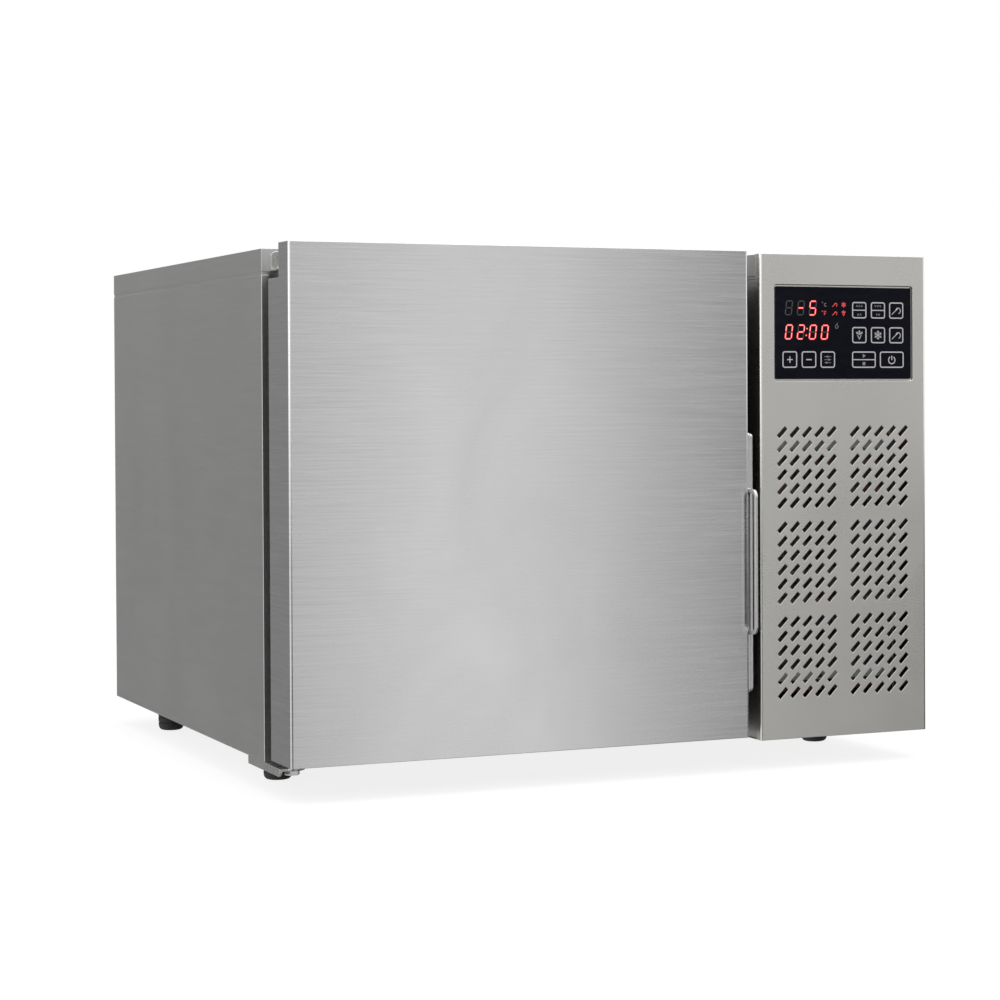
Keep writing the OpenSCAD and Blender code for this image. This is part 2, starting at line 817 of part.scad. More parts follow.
module control_board() {
    y0 = seat_y + 8;
    low = glass_mid - [glass_w, glass_h] / 2;
    high = glass_mid + [glass_w, glass_h] / 2;
    color("darkgreen") from_corner() {
        span([low.x + 1, y0, low.y + 1], [high.x - 1, y0 + 1.6, high.y - 1]);
        for (x = [low.x + 3, high.x - 3], z = [low.y + 3, high.y - 3]) rod_y([x, seat_y, z], y0 - seat_y, 2);
        for (x = [488, 508, 528]) span([x, y0 + 1.6, 372], [x + 16, y0 + 17, 392]);
        for (x = [560, 580, 600]) span([x, y0 + 1.6, 372], [x + 9, y0 + 11, 384]);
        span([486, y0 + 1.6, 420], [530, y0 + 5, 428]);
    }
}

module electrical_box() {
    color("gray") from_corner() {
        span([wall_x + sheet, 70, 372], [600, 190, 450]);
        span([wall_x + sheet + 2, 66, 370], [602, 70, 452]);
        for (y = [90, 125, 160]) rod_z([530, y, 364], 8, 7);
    }
}

module cable_bushing() {
    color(black) from_corner() difference() {
        union() {
            rod_y([gland_at.x, panel_y, gland_at.y], 2.8, 11);
            rod_y([gland_at.x, panel_y - 20, gland_at.y], 20, 8 - slack);
        }
        rod_y([gland_at.x, panel_y - 25, gland_at.y], 40, 4.5);
    }
}

// ---- refrigeration ----

module condenser_frame() {
    x1 = cond_x + cond_w;
    y1 = cond_y + cond_d;
    z1 = cond_z + cond_h;
    t = 1.2;
    color(steel) from_corner() difference() {
        union() {
            for (x = [cond_x, x1 - t]) span([x, cond_y, floor_z], [x + t, y1, z1]);
            for (z = [cond_z, z1 - t]) span([cond_x, cond_y, z], [x1, y1, z + t]);
            span([cond_x, cond_y, cond_z], [x1, cond_y + t, cond_z + 10]);
            span([cond_x, cond_y, z1 - 9], [x1, cond_y + t, z1]);
            span([cond_x, y1, cond_z], [x1, y1 + t, z1]);
            rod_y([cond_mid.x, y1, cond_mid.y], 15, 67);
        }
        rod_y([cond_mid.x, y1 - 1, cond_mid.y], 30, 65.5);
        for (y = cond_cols, z = cond_rows) rod_x([cond_x - 1, y, z], cond_w + 2, cond_r + slack);
        span([520, cond_y - 1, cond_z + 2], [530, cond_y + 4, cond_z + 20]);
    }
}

module condenser_fins() {
    color("gainsboro") from_corner() difference() {
        for (x = [cond_x + 5:5.8:cond_x + cond_w - 5])
            span([x, cond_y + 4, cond_z + 11], [x + 0.5, cond_y + cond_d - 4, cond_z + cond_h - 11]);
        for (y = cond_cols, z = cond_rows) rod_x([cond_x, y, z], cond_w, cond_r + slack);
    }
}

// Two columns of tubes in one circuit: level bends on the left, sloping bends on the right
module condenser_tubes() {
    color(copper) from_corner() {
        for (y = cond_cols, z = cond_rows) rod_x([cond_x, y, z], cond_w, cond_r);
        for (z = cond_rows) u_bend(cond_x - seam, [cond_cols[0], z], [cond_cols[1], z], -1, cond_r);
        for (i = [0:len(cond_rows) - 2])
            u_bend(cond_x + cond_w + seam, [cond_cols[1], cond_rows[i]],
                [cond_cols[0], cond_rows[i + 1]], 1, cond_r);
    }
}

module condenser_fan_blade() {
    color(black) from_corner() translate([cond_mid.x, cond_y + cond_d + 3, cond_mid.y])
        rotate([-90, 0, 0]) fan(16, 62, 18, 5, 3, 22);
}

module condenser_fan_motor() {
    y0 = cond_y + cond_d + 1.2;
    color(dark) from_corner() difference() {
        union() {
            rod_y([cond_mid.x, y0 + 25, cond_mid.y], 34, 30);
            for (s = [-1, 1]) {
                z = cond_mid.y + s * 90;
                span([cond_mid.x - 7, y0, z - 1], [cond_mid.x + 7, y0 + 61, z + 1]);
                span([cond_mid.x - 7, y0 + 59, cond_mid.y - 91], [cond_mid.x + 7, y0 + 61, cond_mid.y + 91]);
            }
        }
        rod_y([cond_mid.x, y0 + 20, cond_mid.y], 26, 3 + fit);
    }
}

function mount_points() = [for (x = [-70, 70], y = [-72, 72]) comp_mid + [x, y]];

module compressor() {
    color("#202020") from_corner() difference() {
        union() {
            translate([comp_mid.x, comp_mid.y, 0]) rotate_extrude() {
                translate([0, 56]) square([comp_r, 110]);
                translate([0, 106]) square([comp_r + 3, 6]);
                translate([0, 166]) square([comp_r - 22, 22]);
                intersection() {
                    translate([comp_r - 22, 166]) circle(22);
                    translate([0, 166]) square([comp_r, 22]);
                }
                translate([0, 48]) square([comp_r - 8, 8]);
            }
            span([comp_mid.x - 82, comp_mid.y - 84, 45], [comp_mid.x + 82, comp_mid.y + 84, 48]);
            span([comp_mid.x - 22, comp_mid.y - comp_r - 26, 118],
                [comp_mid.x + 22, comp_mid.y - comp_r + 8, 162]);
        }
        for (p = mount_points()) rod_z([p.x, p.y, 40], 20, 6);
    }
}

module compressor_mounts() {
    color(black) from_corner() for (p = mount_points()) {
        rod_z([p.x, p.y, floor_z], 45 - floor_z, 11);
        rod_z([p.x, p.y, 45], 3, 6 - slack);
        rod_z([p.x, p.y, 48], 3, 9);
    }
}

module filter_drier() {
    color(copper) from_corner() translate(drier_at) rotate_extrude() {
        translate([0, 12]) square([12, 86]);
        polygon([[0, 0], [4.5, 0], [12, 12], [0, 12]]);
        polygon([[0, 98], [12, 98], [4.5, 110], [0, 110]]);
    }
}

// A pipe of straight runs through the points, with brazed elbows
module pipe(points, r) {
    for (i = [0:len(points) - 2]) {
        run = points[i + 1] - points[i];
        translate(points[i]) rotate([0, acos(run.z / norm(run)), atan2(run.y, run.x)])
            cylinder(h = norm(run), r = r);
    }
    for (i = [1:len(points) - 2]) translate(points[i]) sphere(r + 0.4);
}

module refrigerant_pipes() {
    shell_y = comp_mid.y + comp_r;
    cond_end = cond_x + cond_w;
    aisle_x = case_w - 8;            // free strip along the right side panel
    color(copper) from_corner() {
        // suction: evaporator to compressor
        pipe([[evap_x + evap_w, suction.x, suction.y], [500, suction.x, suction.y], [500, suction.x, 180],
            [comp_mid.x, shell_y + 10, 150], [comp_mid.x, shell_y - 4, 150]], pipe_r);
        // discharge: compressor to the top of the condenser
        pipe([[comp_mid.x + comp_r - 6, comp_mid.y, 140], [aisle_x, comp_mid.y, 140],
            [aisle_x, comp_mid.y, 324], [aisle_x, cond_cols[1], 324], [aisle_x, cond_cols[1], cond_rows[7]],
            [cond_end, cond_cols[1], cond_rows[7]]], 3);
        // liquid: condenser to filter drier
        pipe([[cond_end, cond_cols[0], cond_rows[0]], [aisle_x - 2, cond_cols[0], cond_rows[0]],
            [aisle_x - 2, cond_cols[0], 60], [aisle_x - 2, 100, 60], [drier_at.x, 100, 60],
            [drier_at.x, drier_at.y, 60], drier_at], 3);
        // liquid: filter drier to evaporator
        pipe([drier_at + [0, 0, 110], drier_at + [0, 0, 150], [drier_at.x, liquid.x, drier_at.z + 150],
            [drier_at.x, liquid.x, liquid.y], [evap_x + evap_w, liquid.x, liquid.y]], 3);
    }
}

// ---- drawing ----

base_pan();
left_side_panel();
right_side_panel();
top_cover();
rear_panel();
rear_service_panel();
rear_panel_screws();
machine_side_wall();
front_bezel();
front_frame();
insulation();
inner_liner();
drain_fitting();
foot(0);  // foot_front_left
foot(1);  // foot_front_right
foot(2);  // foot_rear_left
foot(3);  // foot_rear_right
foot_screws();
rack_left();
rack_right();
evaporator_cover();
fan_guard();
evaporator_fan_motor();
evaporator_fan_bracket();
evaporator_fan_blade();
evaporator_fins();
evaporator_tubes();
evaporator_tray();
air_sensor();
door_skin();
door_foam();
door_liner();
door_gasket();
handle_grip();
handle_strip();
handle_screws();
upper_hinge_bush();
lower_hinge_bush();
door_magnet();
upper_hinge_bracket();
lower_hinge_bracket();
upper_hinge_pin();
lower_hinge_pin();
hinge_washers();
hinge_screws();
control_glass();
display_module();
control_board();
electrical_box();
reed_switch();
condenser_frame();
condenser_fins();
condenser_tubes();
condenser_fan_motor();
condenser_fan_blade();
compressor();
compressor_mounts();
filter_drier();
refrigerant_pipes();
cable_bushing();
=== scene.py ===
import json
import math

import bmesh
import bpy
from mathutils import Matrix, Vector


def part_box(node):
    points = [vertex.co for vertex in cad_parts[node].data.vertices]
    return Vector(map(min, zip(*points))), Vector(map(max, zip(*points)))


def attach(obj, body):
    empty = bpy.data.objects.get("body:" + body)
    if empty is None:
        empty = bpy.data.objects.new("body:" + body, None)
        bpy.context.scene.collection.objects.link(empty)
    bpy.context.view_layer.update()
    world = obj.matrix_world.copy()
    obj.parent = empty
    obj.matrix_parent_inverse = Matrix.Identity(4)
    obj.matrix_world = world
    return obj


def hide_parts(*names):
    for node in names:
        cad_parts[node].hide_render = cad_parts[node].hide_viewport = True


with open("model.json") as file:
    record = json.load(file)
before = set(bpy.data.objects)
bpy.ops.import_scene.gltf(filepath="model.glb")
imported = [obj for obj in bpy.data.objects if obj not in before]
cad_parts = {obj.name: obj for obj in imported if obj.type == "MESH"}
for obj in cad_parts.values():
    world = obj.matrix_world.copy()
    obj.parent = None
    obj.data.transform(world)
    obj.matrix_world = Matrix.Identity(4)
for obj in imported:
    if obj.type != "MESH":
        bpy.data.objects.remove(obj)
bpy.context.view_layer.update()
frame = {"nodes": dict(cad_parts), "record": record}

# Looks of a countertop blast chiller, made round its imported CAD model. The pieces are laid out
# in millimetres from the front left corner of the door on the floor, as in the CAD source, and
# at() turns them into metres in the frame. The camera, the lamps and the stage are in metres.

MM = 0.001
DOOR_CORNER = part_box("door_skin")[0]


def at(x, y, z):
    """A layout point, in millimetres, as metres in the frame."""
    return Vector((DOOR_CORNER.x + x * MM, DOOR_CORNER.y + y * MM, z * MM))


def layout_box(node):
    """A node's lowest and highest corners in layout millimetres."""
    return [((c.x - DOOR_CORNER.x) / MM, (c.y - DOOR_CORNER.y) / MM, c.z / MM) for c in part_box(node)]


# ---- camera, light and floor ----

# Where the camera stands and how it is turned, found by lining up the object's corners
CAMERA_PLACE = (-0.952369, -2.351339, 0.349469)
CAMERA_YAW = 24.991
CAMERA_PITCH = 0.749503
CAMERA_ROLL = 0.254038
CAMERA_LENS = 90.335
CAMERA_SENSOR = 36
CAMERA_SHIFT = (-0.12805, -0.0739)
CAMERA_CLIP = (0.05, 200)


def add_camera():
    """Sets the scene's camera; a positive pitch looks down, and the angles are in degrees."""
    yaw, pitch, roll = (math.radians(angle) for angle in (CAMERA_YAW, CAMERA_PITCH, CAMERA_ROLL))
    data = bpy.data.cameras.new("camera")
    data.sensor_width = CAMERA_SENSOR
    data.lens = CAMERA_LENS
    data.shift_x, data.shift_y = CAMERA_SHIFT
    data.clip_start, data.clip_end = CAMERA_CLIP
    level = math.cos(pitch)
    forward = Vector((math.sin(yaw) * level, math.cos(yaw) * level, -math.sin(pitch)))
    right = Vector((math.cos(yaw), -math.sin(yaw), 0))
    down = forward.cross(right)
    axis_x = right * math.cos(roll) + down * math.sin(roll)
    axis_y = right * math.sin(roll) - down * math.cos(roll)
    turn = Matrix((axis_x, axis_y, -forward)).transposed().to_4x4()
    camera = bpy.data.objects.new("camera", data)
    bpy.context.scene.collection.objects.link(camera)
    camera.matrix_world = Matrix.Translation(CAMERA_PLACE) @ turn
    bpy.context.scene.camera = camera


def ramp(tree, value, stops, interpolation="EASE"):
    """A colour ramp over value; each stop is a position and a grey level."""
    node = tree.nodes.new("ShaderNodeValToRGB")
    node.color_ramp.interpolation = interpolation
    elements = node.color_ramp.elements
    while len(elements) > 1:
        elements.remove(elements[-1])
    for i, (position, level) in enumerate(stops):
        stop = elements[0] if i == 0 else elements.new(position)
        stop.position = position
        stop.color = (level, level, level, 1)
    tree.links.new(value, node.inputs["Fac"])
    return node.outputs["Color"]


def maths(tree, operation, a, b=None):
    """A maths node on sockets or plain numbers."""
    node = tree.nodes.new("ShaderNodeMath")
    node.operation = operation
    for socket, value in zip(node.inputs, (a, b)):
        if value is None:
            continue
        if isinstance(value, (int, float)):
            socket.default_value = value
        else:
            tree.links.new(value, socket)
    return node.outputs[0]


def blend(tree, factor, a, b):
    """Colour a where factor is 0 and b where it is 1; each is a socket or a list."""
    node = tree.nodes.new("ShaderNodeMix")
    node.data_type = "RGBA"
    tree.links.new(factor, node.inputs["Factor"])
    for name, value in (("A", a), ("B", b)):
        if isinstance(value, list):
            node.inputs[name].default_value = value
        else:
            tree.links.new(value, node.inputs[name])
    return node.outputs["Result"]


# Brightness of the studio's walls: degrees from -Y towards +X, level under the horizon, level
# over it. Seen from the camera, the left side panel mirrors the wall near -155, the door what
# lies from 17 to 28, and the front of the machine side what lies from 27 to 31. The levels began
# as a fit to the brightness these faces should have, and were then rounded and changed.
STUDIO = [
    (-180, 0.30, 0.45), (-165, 0.265, 0.29), (-152, 0.31, 0.36),
    (-125, 1.25, 1.48), (-85, 0.95, 1.33), (-40, 0.67, 1.27),
    (-8, 0.11, 1.05), (8, 0.00, 0.86), (14, 0.04, 0.80),
    (18, 0.90, 0.62), (22, 1.29, 1.19), (26, 0.80, 0.55), (30, 0.00, 0.20),
    (34.5, 0.20, 0.90), (41, 0.15, 1.85), (52.5, 0.00, 1.49),
    (75, 0.12, 1.18), (110, 0.28, 1.02), (145, 0.36, 0.94), (180, 0.30, 0.45),
]
# A ramp holds levels up to 1, so they are divided by this and the world is made as much stronger
STUDIO_PEAK = 2.0
CEILING = 1.28
# Heights of the view direction, 0 straight down and 1 straight up, over which one part of the
# studio fades into the next
HORIZON_FADE = (0.485, 0.515)
CEILING_FADE = (0.69, 0.76)

# name, place, what it is aimed at, width and height, watts, whether metal mirrors it
LAMPS = [
    ("softbox_top", (0.2, -0.4, 2.6), (0, 0, 0.2), (2.6, 2.2), 34, True),
    ("softbox_left", (-2.8, -1.2, 1.6), (0, 0, 0.25), (1.2, 1.6), 9, True),
    ("softbox_front", (1.6, -3.4, 1.9), (0, 0, 0.3), (1.4, 1.4), 10, False),
]


def light_studio():
    """The world's soft walls and ceiling, and three soft boxes."""
    world = bpy.data.worlds.new("studio")
    bpy.context.scene.world = world
    world.use_nodes = True
    tree = world.node_tree
    background = tree.nodes["Background"]
    background.inputs["Strength"].default_value = STUDIO_PEAK
    direction = tree.nodes.new("ShaderNodeTexCoord")
    split = tree.nodes.new("ShaderNodeSeparateXYZ")
    tree.links.new(direction.outputs["Generated"], split.inputs[0])
    x, y, z = split.outputs
    azimuth = maths(tree, "ARCTAN2", x, maths(tree, "MULTIPLY", y, -1.0))
    share = maths(tree, "ADD", maths(tree, "MULTIPLY", azimuth, 0.5 / math.pi), 0.5)
    below, above = [
        ramp(tree, share, [((stop[0] + 180) / 360, stop[k] / STUDIO_PEAK) for stop in STUDIO], "LINEAR")
        for k in (1, 2)]
    height = maths(tree, "ADD", maths(tree, "MULTIPLY", z, 0.5), 0.5)
    over_horizon, on_ceiling = [ramp(tree, height, [(start, 0.0), (end, 1.0)])
                                for start, end in (HORIZON_FADE, CEILING_FADE)]
    walls = blend(tree, over_horizon, below, above)
    full = blend(tree, on_ceiling, walls, [CEILING / STUDIO_PEAK] * 3 + [1])
    tree.links.new(full, background.inputs["Color"])
    for name, place, target, size, power, mirrored in LAMPS:
        data = bpy.data.lights.new(name, "AREA")
        data.shape = "RECTANGLE"
        data.size, data.size_y = size
        data.energy = power
        lamp = bpy.data.objects.new(name, data)
        bpy.context.scene.collection.objects.link(lamp)
        aim = Vector(target) - Vector(place)
        turn = aim.to_track_quat("-Z", "Y").to_matrix().to_4x4()
        lamp.matrix_world = Matrix.Translation(place) @ turn
        lamp.visible_camera = False
        lamp.visible_glossy = mirrored


STAGE_RADIUS = 38.0
STAGE_STEPS = 96
FLOOR_GREY = 0.93
# The floor is part paper and part white glow. A stop is a share of the reach, which is in metres
# from the middle of the floor, and the share of glow there.
FLOOR_REACH = 4.0
FLOOR_FADE = [(0.12, 0.82), (0.75, 1.0)]


def stage_sheet(name, rings, profile):
    """A round sheet; profile gives the radius and height of a ring from its share, 0 to 1."""
    bm = bmesh.new()
    last = [bm.verts.new((0, 0, profile(0)[1]))]
    turn = [2 * math.pi * k / STAGE_STEPS for k in range(STAGE_STEPS)]
    for i in range(1, rings + 1):
        r, h = profile(i / rings)
        loop = [bm.verts.new((r * math.cos(a), r * math.sin(a), h)) for a in turn]
        for k in range(STAGE_STEPS):
            a, b = last[k % len(last)], last[(k + 1) % len(last)]
            c, d = loop[(k + 1) % STAGE_STEPS], loop[k]
            bm.faces.new((a, d, c) if a is b else (a, d, c, b))
        last = loop
    mesh = bpy.data.meshes.new(name)
    bm.to_mesh(mesh)
    bm.free()
    for p in mesh.polygons:
        p.use_smooth = True
    obj = bpy.data.objects.new(name, mesh)
    bpy.context.scene.collection.objects.link(obj)
    return obj


def add_stage():
    """A pale floor that fades to white with distance, and a white dome.

    Only the camera sees them, so that they neither light nor shade the object.
    """
    floor = stage_sheet("floor", 40, lambda share: (STAGE_RADIUS * share, 0.0))
    mat = bpy.data.materials.new("floor_paper")
    mat.use_nodes = True
    tree = mat.node_tree
    bsdf = tree.nodes["Principled BSDF"]
    bsdf.inputs["Base Color"].default_value = (FLOOR_GREY, FLOOR_GREY, FLOOR_GREY, 1)
    bsdf.inputs["Roughness"].default_value = 0.9
    bsdf.inputs["Specular IOR Level"].default_value = 0.0
    place = tree.nodes.new("ShaderNodeTexCoord")
    length = tree.nodes.new("ShaderNodeVectorMath")
    length.operation = "LENGTH"
    tree.links.new(place.outputs["Object"], length.inputs[0])
    far = ramp(tree, maths(tree, "DIVIDE", length.outputs["Value"], FLOOR_REACH), FLOOR_FADE)
    glow = tree.nodes.new("ShaderNodeEmission")
    mix = tree.nodes.new("ShaderNodeMixShader")
    tree.links.new(far, mix.inputs[0])
    tree.links.new(bsdf.outputs[0], mix.inputs[1])
    tree.links.new(glow.outputs[0], mix.inputs[2])
    tree.links.new(mix.outputs[0], tree.nodes["Material Output"].inputs["Surface"])
    floor.data.materials.append(mat)
    dome = stage_sheet("backdrop", 24, lambda share: (STAGE_RADIUS * math.sin(share * math.pi / 2),
                                                      STAGE_RADIUS * math.cos(share * math.pi / 2)))
    white = bpy.data.materials.new("backdrop_white")
    white.use_nodes = True
    tree = white.node_tree
    tree.nodes.remove(tree.nodes["Principled BSDF"])
    light = tree.nodes.new("ShaderNodeEmission")
    tree.links.new(light.outputs[0], tree.nodes["Material Output"].inputs["Surface"])
    dome.data.materials.append(white)
    for sheet in (floor, dome):
        for ray in ("diffuse", "glossy", "transmission", "shadow", "volume_scatter"):
            setattr(sheet, "visible_" + ray, False)


# ---- materials ----

def new_material(name, color, rough, metal=0.0):
    """A plain material; returns it with its node tree and its shader."""
    mat = bpy.data.materials.new(name)
    mat.use_nodes = True
    bsdf = mat.node_tree.nodes["Principled BSDF"]
    bsdf.inputs["Base Color"].default_value = (*color, 1)
    bsdf.inputs["Roughness"].default_value = rough
    bsdf.inputs["Metallic"].default_value = metal
    mat.diffuse_color = (*color, 1)
    return mat, mat.node_tree, bsdf


def noise(tree, scale, detail=3.0, rough=0.6, distortion=0.0):
    """Noise in the object's own coordinates, with cells per metre along x, y and z."""
    place = tree.nodes.new("ShaderNodeTexCoord")
    stretch = tree.nodes.new("ShaderNodeMapping")
    stretch.inputs["Scale"].default_value = scale
    field = tree.nodes.new("ShaderNodeTexNoise")
    field.inputs["Scale"].default_value = 1.0
    field.inputs["Detail"].default_value = detail
    field.inputs["Roughness"].default_value = rough
    field.inputs["Distortion"].default_value = distortion
    tree.links.new(place.outputs["Object"], stretch.inputs["Vector"])
    tree.links.new(stretch.outputs["Vector"], field.inputs["Vector"])
    return field.outputs["Fac"]


def spread(tree, value, low, high):
    """Maps noise, which stays near 0.5, onto low to high."""
    node = tree.nodes.new("ShaderNodeMapRange")
    for name, number in (("From Min", 0.3), ("From Max", 0.7), ("To Min", low), ("To Max", high)):
        node.inputs[name].default_value = number
    tree.links.new(value, node.inputs["Value"])
    return node.outputs["Result"]


def tint(tree, bsdf, color, value, low, high):
    """Base colour times a factor from low to high that follows the noise."""
    node = tree.nodes.new("ShaderNodeVectorMath")
    node.operation = "SCALE"
    node.inputs[0].default_value = color
    tree.links.new(spread(tree, value, low, high), node.inputs["Scale"])
    tree.links.new(node.outputs[0], bsdf.inputs["Base Color"])


def bump(tree, bsdf, value, depth_mm):
    """Fine relief of that depth that follows the value."""
    node = tree.nodes.new("ShaderNodeBump")
    node.inputs["Strength"].default_value = 0.5
    node.inputs["Distance"].default_value = depth_mm * MM
    tree.links.new(value, node.inputs["Height"])
    tree.links.new(node.outputs["Normal"], bsdf.inputs["Normal"])


def brushed(name, color, rough, grain=1.0, along=11.0, across=620.0, anisotropy=0.7):
    """Brushed sheet steel: level grain on upright faces, grain along X on flat ones.

    grain scales how strongly the grain shows, and along and across are its cells per metre.
    """
    mat, tree, bsdf = new_material(name, color, rough, 1.0)
    quarter_turn = 0.25
    bsdf.inputs["Anisotropic"].default_value = anisotropy
    bsdf.inputs["Anisotropic Rotation"].default_value = quarter_turn
    tangent = tree.nodes.new("ShaderNodeTangent")
    tangent.direction_type = "RADIAL"
    tangent.axis = "Z"
    geometry = tree.nodes.new("ShaderNodeNewGeometry")
    split = tree.nodes.new("ShaderNodeSeparateXYZ")
    tree.links.new(geometry.outputs["Normal"], split.inputs[0])
    level = maths(tree, "GREATER_THAN", maths(tree, "ABSOLUTE", split.outputs["Z"]), 0.7)
    grain_way = tree.nodes.new("ShaderNodeMix")
    grain_way.data_type = "VECTOR"
    grain_way.inputs["B"].default_value = (1, 0, 0)
    tree.links.new(level, grain_way.inputs["Factor"])
    tree.links.new(tangent.outputs[0], grain_way.inputs["A"])
    tree.links.new(grain_way.outputs["Result"], bsdf.inputs["Tangent"])
    streaks = []
    for size in (1.0, 2.3):
        low, high = along * size, across * size
        pair = tree.nodes.new("ShaderNodeMix")
        tree.links.new(level, pair.inputs["Factor"])
        tree.links.new(noise(tree, (low, low, high), 2.5), pair.inputs["A"])
        tree.links.new(noise(tree, (low, high, low), 2.5), pair.inputs["B"])
        streaks.append(pair.outputs["Result"])
    streak = maths(tree, "MULTIPLY", maths(tree, "ADD", *streaks), 0.5)
    smudge = noise(tree, (9, 9, 7), 3.0, 0.55, 0.6)
    contrast, unevenness = 0.09 * grain, 0.05 * grain
    tint(tree, bsdf, color, streak, 1 - contrast, 1 + contrast)
    wear = maths(tree, "ADD", spread(tree, streak, rough - unevenness, rough + unevenness),
                 spread(tree, smudge, -0.02, 0.03))
    tree.links.new(wear, bsdf.inputs["Roughness"])
    bump(tree, bsdf, streak, 0.012 * grain)
    return mat


def satin(name, color, rough, metal=1.0, speck=0.04, cells=260.0, bump_mm=0.02):
    """Plated, painted or cast surface with a fine even grain and soft blotches."""
    mat, tree, bsdf = new_material(name, color, rough, metal)
    fine = noise(tree, (cells, cells, cells), 3.0, 0.65)
    blotch = noise(tree, (14, 14, 14), 3.0, 0.6, 0.4)
    both = maths(tree, "MULTIPLY", maths(tree, "ADD", fine, blotch), 0.5)
    tint(tree, bsdf, color, both, 1 - 2 * speck, 1 + 2 * speck)
    tree.links.new(spread(tree, both, rough - 0.07, rough + 0.07), bsdf.inputs["Roughness"])
    bump(tree, bsdf, fine, bump_mm)
    return mat


def glossy_panel(name, color):
    """Black panel glass with a weak mirror, and a faint film of wiping marks in its gloss."""
    mat, tree, bsdf = new_material(name, color, 0.12)
    wipe = noise(tree, (30, 30, 110), 3.0, 0.6, 1.2)
    tint(tree, bsdf, color, wipe, 0.8, 1.25)
    tree.links.new(spread(tree, wipe, 0.09, 0.17), bsdf.inputs["Roughness"])
    bsdf.inputs["Specular IOR Level"].default_value = 0.1
    return mat


def glowing(name, color, strength, rough=0.4):
    """Lit or printed ink on the panel, uneven like light behind a diffuser; on the unlit bars of the digits
    the faint glow is painted light.
    """
    mat, tree, bsdf = new_material(name, tuple(c * 0.6 for c in color), rough)
    uneven = noise(tree, (420, 420, 420), 2.0)
    level = spread(tree, uneven, strength * 0.85, strength * 1.15)
    bsdf.inputs["Emission Color"].default_value = (*color, 1)
    tree.links.new(level, bsdf.inputs["Emission Strength"])
    return mat


MATERIALS = {
    "door_steel": brushed("door_steel", (0.60, 0.60, 0.60), 0.24, anisotropy=0.85),
    "casing_steel": brushed("casing_steel", (0.58, 0.58, 0.57), 0.33, 0.7),
    "bezel_steel": brushed("bezel_steel", (0.66, 0.65, 0.62), 0.28, 0.15, 60, 700, anisotropy=0.2),
    "inner_steel": brushed("inner_steel", (0.64, 0.645, 0.65), 0.3, 0.6),
    "galvanised": satin("galvanised", (0.52, 0.53, 0.54), 0.42, 1.0, 0.08, 60),
    "frame_plastic": satin("frame_plastic", (0.045, 0.045, 0.047), 0.5, 0.0, 0.05, 900),
    "foam": satin("foam", (0.78, 0.68, 0.42), 0.85, 0.0, 0.06, 500, 0.3),
    "gasket": satin("gasket", (0.035, 0.034, 0.033), 0.55, 0.0, 0.05, 700),
    "foot_rubber": satin("foot_rubber", (0.009, 0.009, 0.009), 0.7, 0.0, 0.08, 900, 0.05),
    "hinge_steel": satin("hinge_steel", (0.56, 0.555, 0.54), 0.3, 1.0, 0.05, 400),
    "pin_steel": satin("pin_steel", (0.66, 0.66, 0.66), 0.2, 1.0, 0.03, 300),
    "bush_plastic": satin("bush_plastic", (0.78, 0.78, 0.74), 0.4, 0.0, 0.03, 500),
    "screw_steel": satin("screw_steel", (0.62, 0.62, 0.63), 0.25, 1.0, 0.05, 500),
    "handle_steel": brushed("handle_steel", (0.68, 0.68, 0.67), 0.22, 0.4, across=500),
    "panel_glass": glossy_panel("panel_glass", (0.004, 0.004, 0.008)),
    "display_plastic": satin("display_plastic", (0.03, 0.03, 0.03), 0.5, 0.0, 0.04, 700),
    "board": satin("board", (0.02, 0.13, 0.05), 0.35, 0.0, 0.1, 300),
    "grey_plastic": satin("grey_plastic", (0.22, 0.225, 0.23), 0.48, 0.0, 0.04, 900),
    "black_plastic": satin("black_plastic", (0.02, 0.02, 0.02), 0.4, 0.0, 0.05, 900),
    "fin_aluminium": brushed("fin_aluminium", (0.72, 0.73, 0.74), 0.36, 0.8, along=90, across=420),
    "copper": satin("copper", (0.62, 0.30, 0.18), 0.32, 1.0, 0.14, 90),
    "compressor_paint": satin("compressor_paint", (0.012, 0.012, 0.013), 0.28, 0.0, 0.05, 120, 0.15),
    "magnet": satin("magnet", (0.12, 0.12, 0.125), 0.5, 0.6, 0.05, 800),
    "ink_white": glowing("ink_white", (0.62, 0.62, 0.64), 0.12),
    "ink_grey": glowing("ink_grey", (0.30, 0.30, 0.30), 0.10),
    # The unlit bars glow faintly: painted light, since nothing lights them.
    "unlit_bar_painted_glow": glowing("unlit_bar_painted_glow", (0.045, 0.042, 0.038), 0.2, 0.3),
    "led_red": glowing("led_red", (1.0, 0.03, 0.035), 0.9),
    "led_dim": glowing("led_dim", (0.75, 0.06, 0.07), 0.55),
    "led_core": glowing("led_core", (1.0, 0.42, 0.38), 0.95),
}


# Widths of the rounded edges that show, in millimetres
ROUNDING = {
    "door_skin": 0.48, "door_liner": 0.8, "handle_grip": 0.6, "handle_strip": 0.6, "handle_screws": 0.2,
    "upper_hinge_bracket": 0.4, "lower_hinge_bracket": 0.4, "upper_hinge_pin": 0.5,
    "lower_hinge_pin": 0.5, "hinge_washers": 0.3,
    "front_bezel": 0.45, "left_side_panel": 0.48, "top_cover": 0.29, "right_side_panel": 0.3,
    "rear_panel": 0.3, "rear_service_panel": 0.3, "machine_side_wall": 0.3, "base_pan": 0.3,
    "front_frame": 0.5, "control_glass": 0.25, "cable_bushing": 0.6, "electrical_box": 0.8,
    "rack_left": 0.25, "rack_right": 0.25, "drain_fitting": 0.5,
    "evaporator_cover": 0.3, "evaporator_tray": 0.3, "fan_guard": 0.5, "evaporator_fan_bracket": 0.4,
    "evaporator_fan_motor": 1.2, "evaporator_fan_blade": 0.4,
    "condenser_frame": 0.25, "condenser_fan_motor": 0.6, "condenser_fan_blade": 0.4, "compressor": 0.8,
}


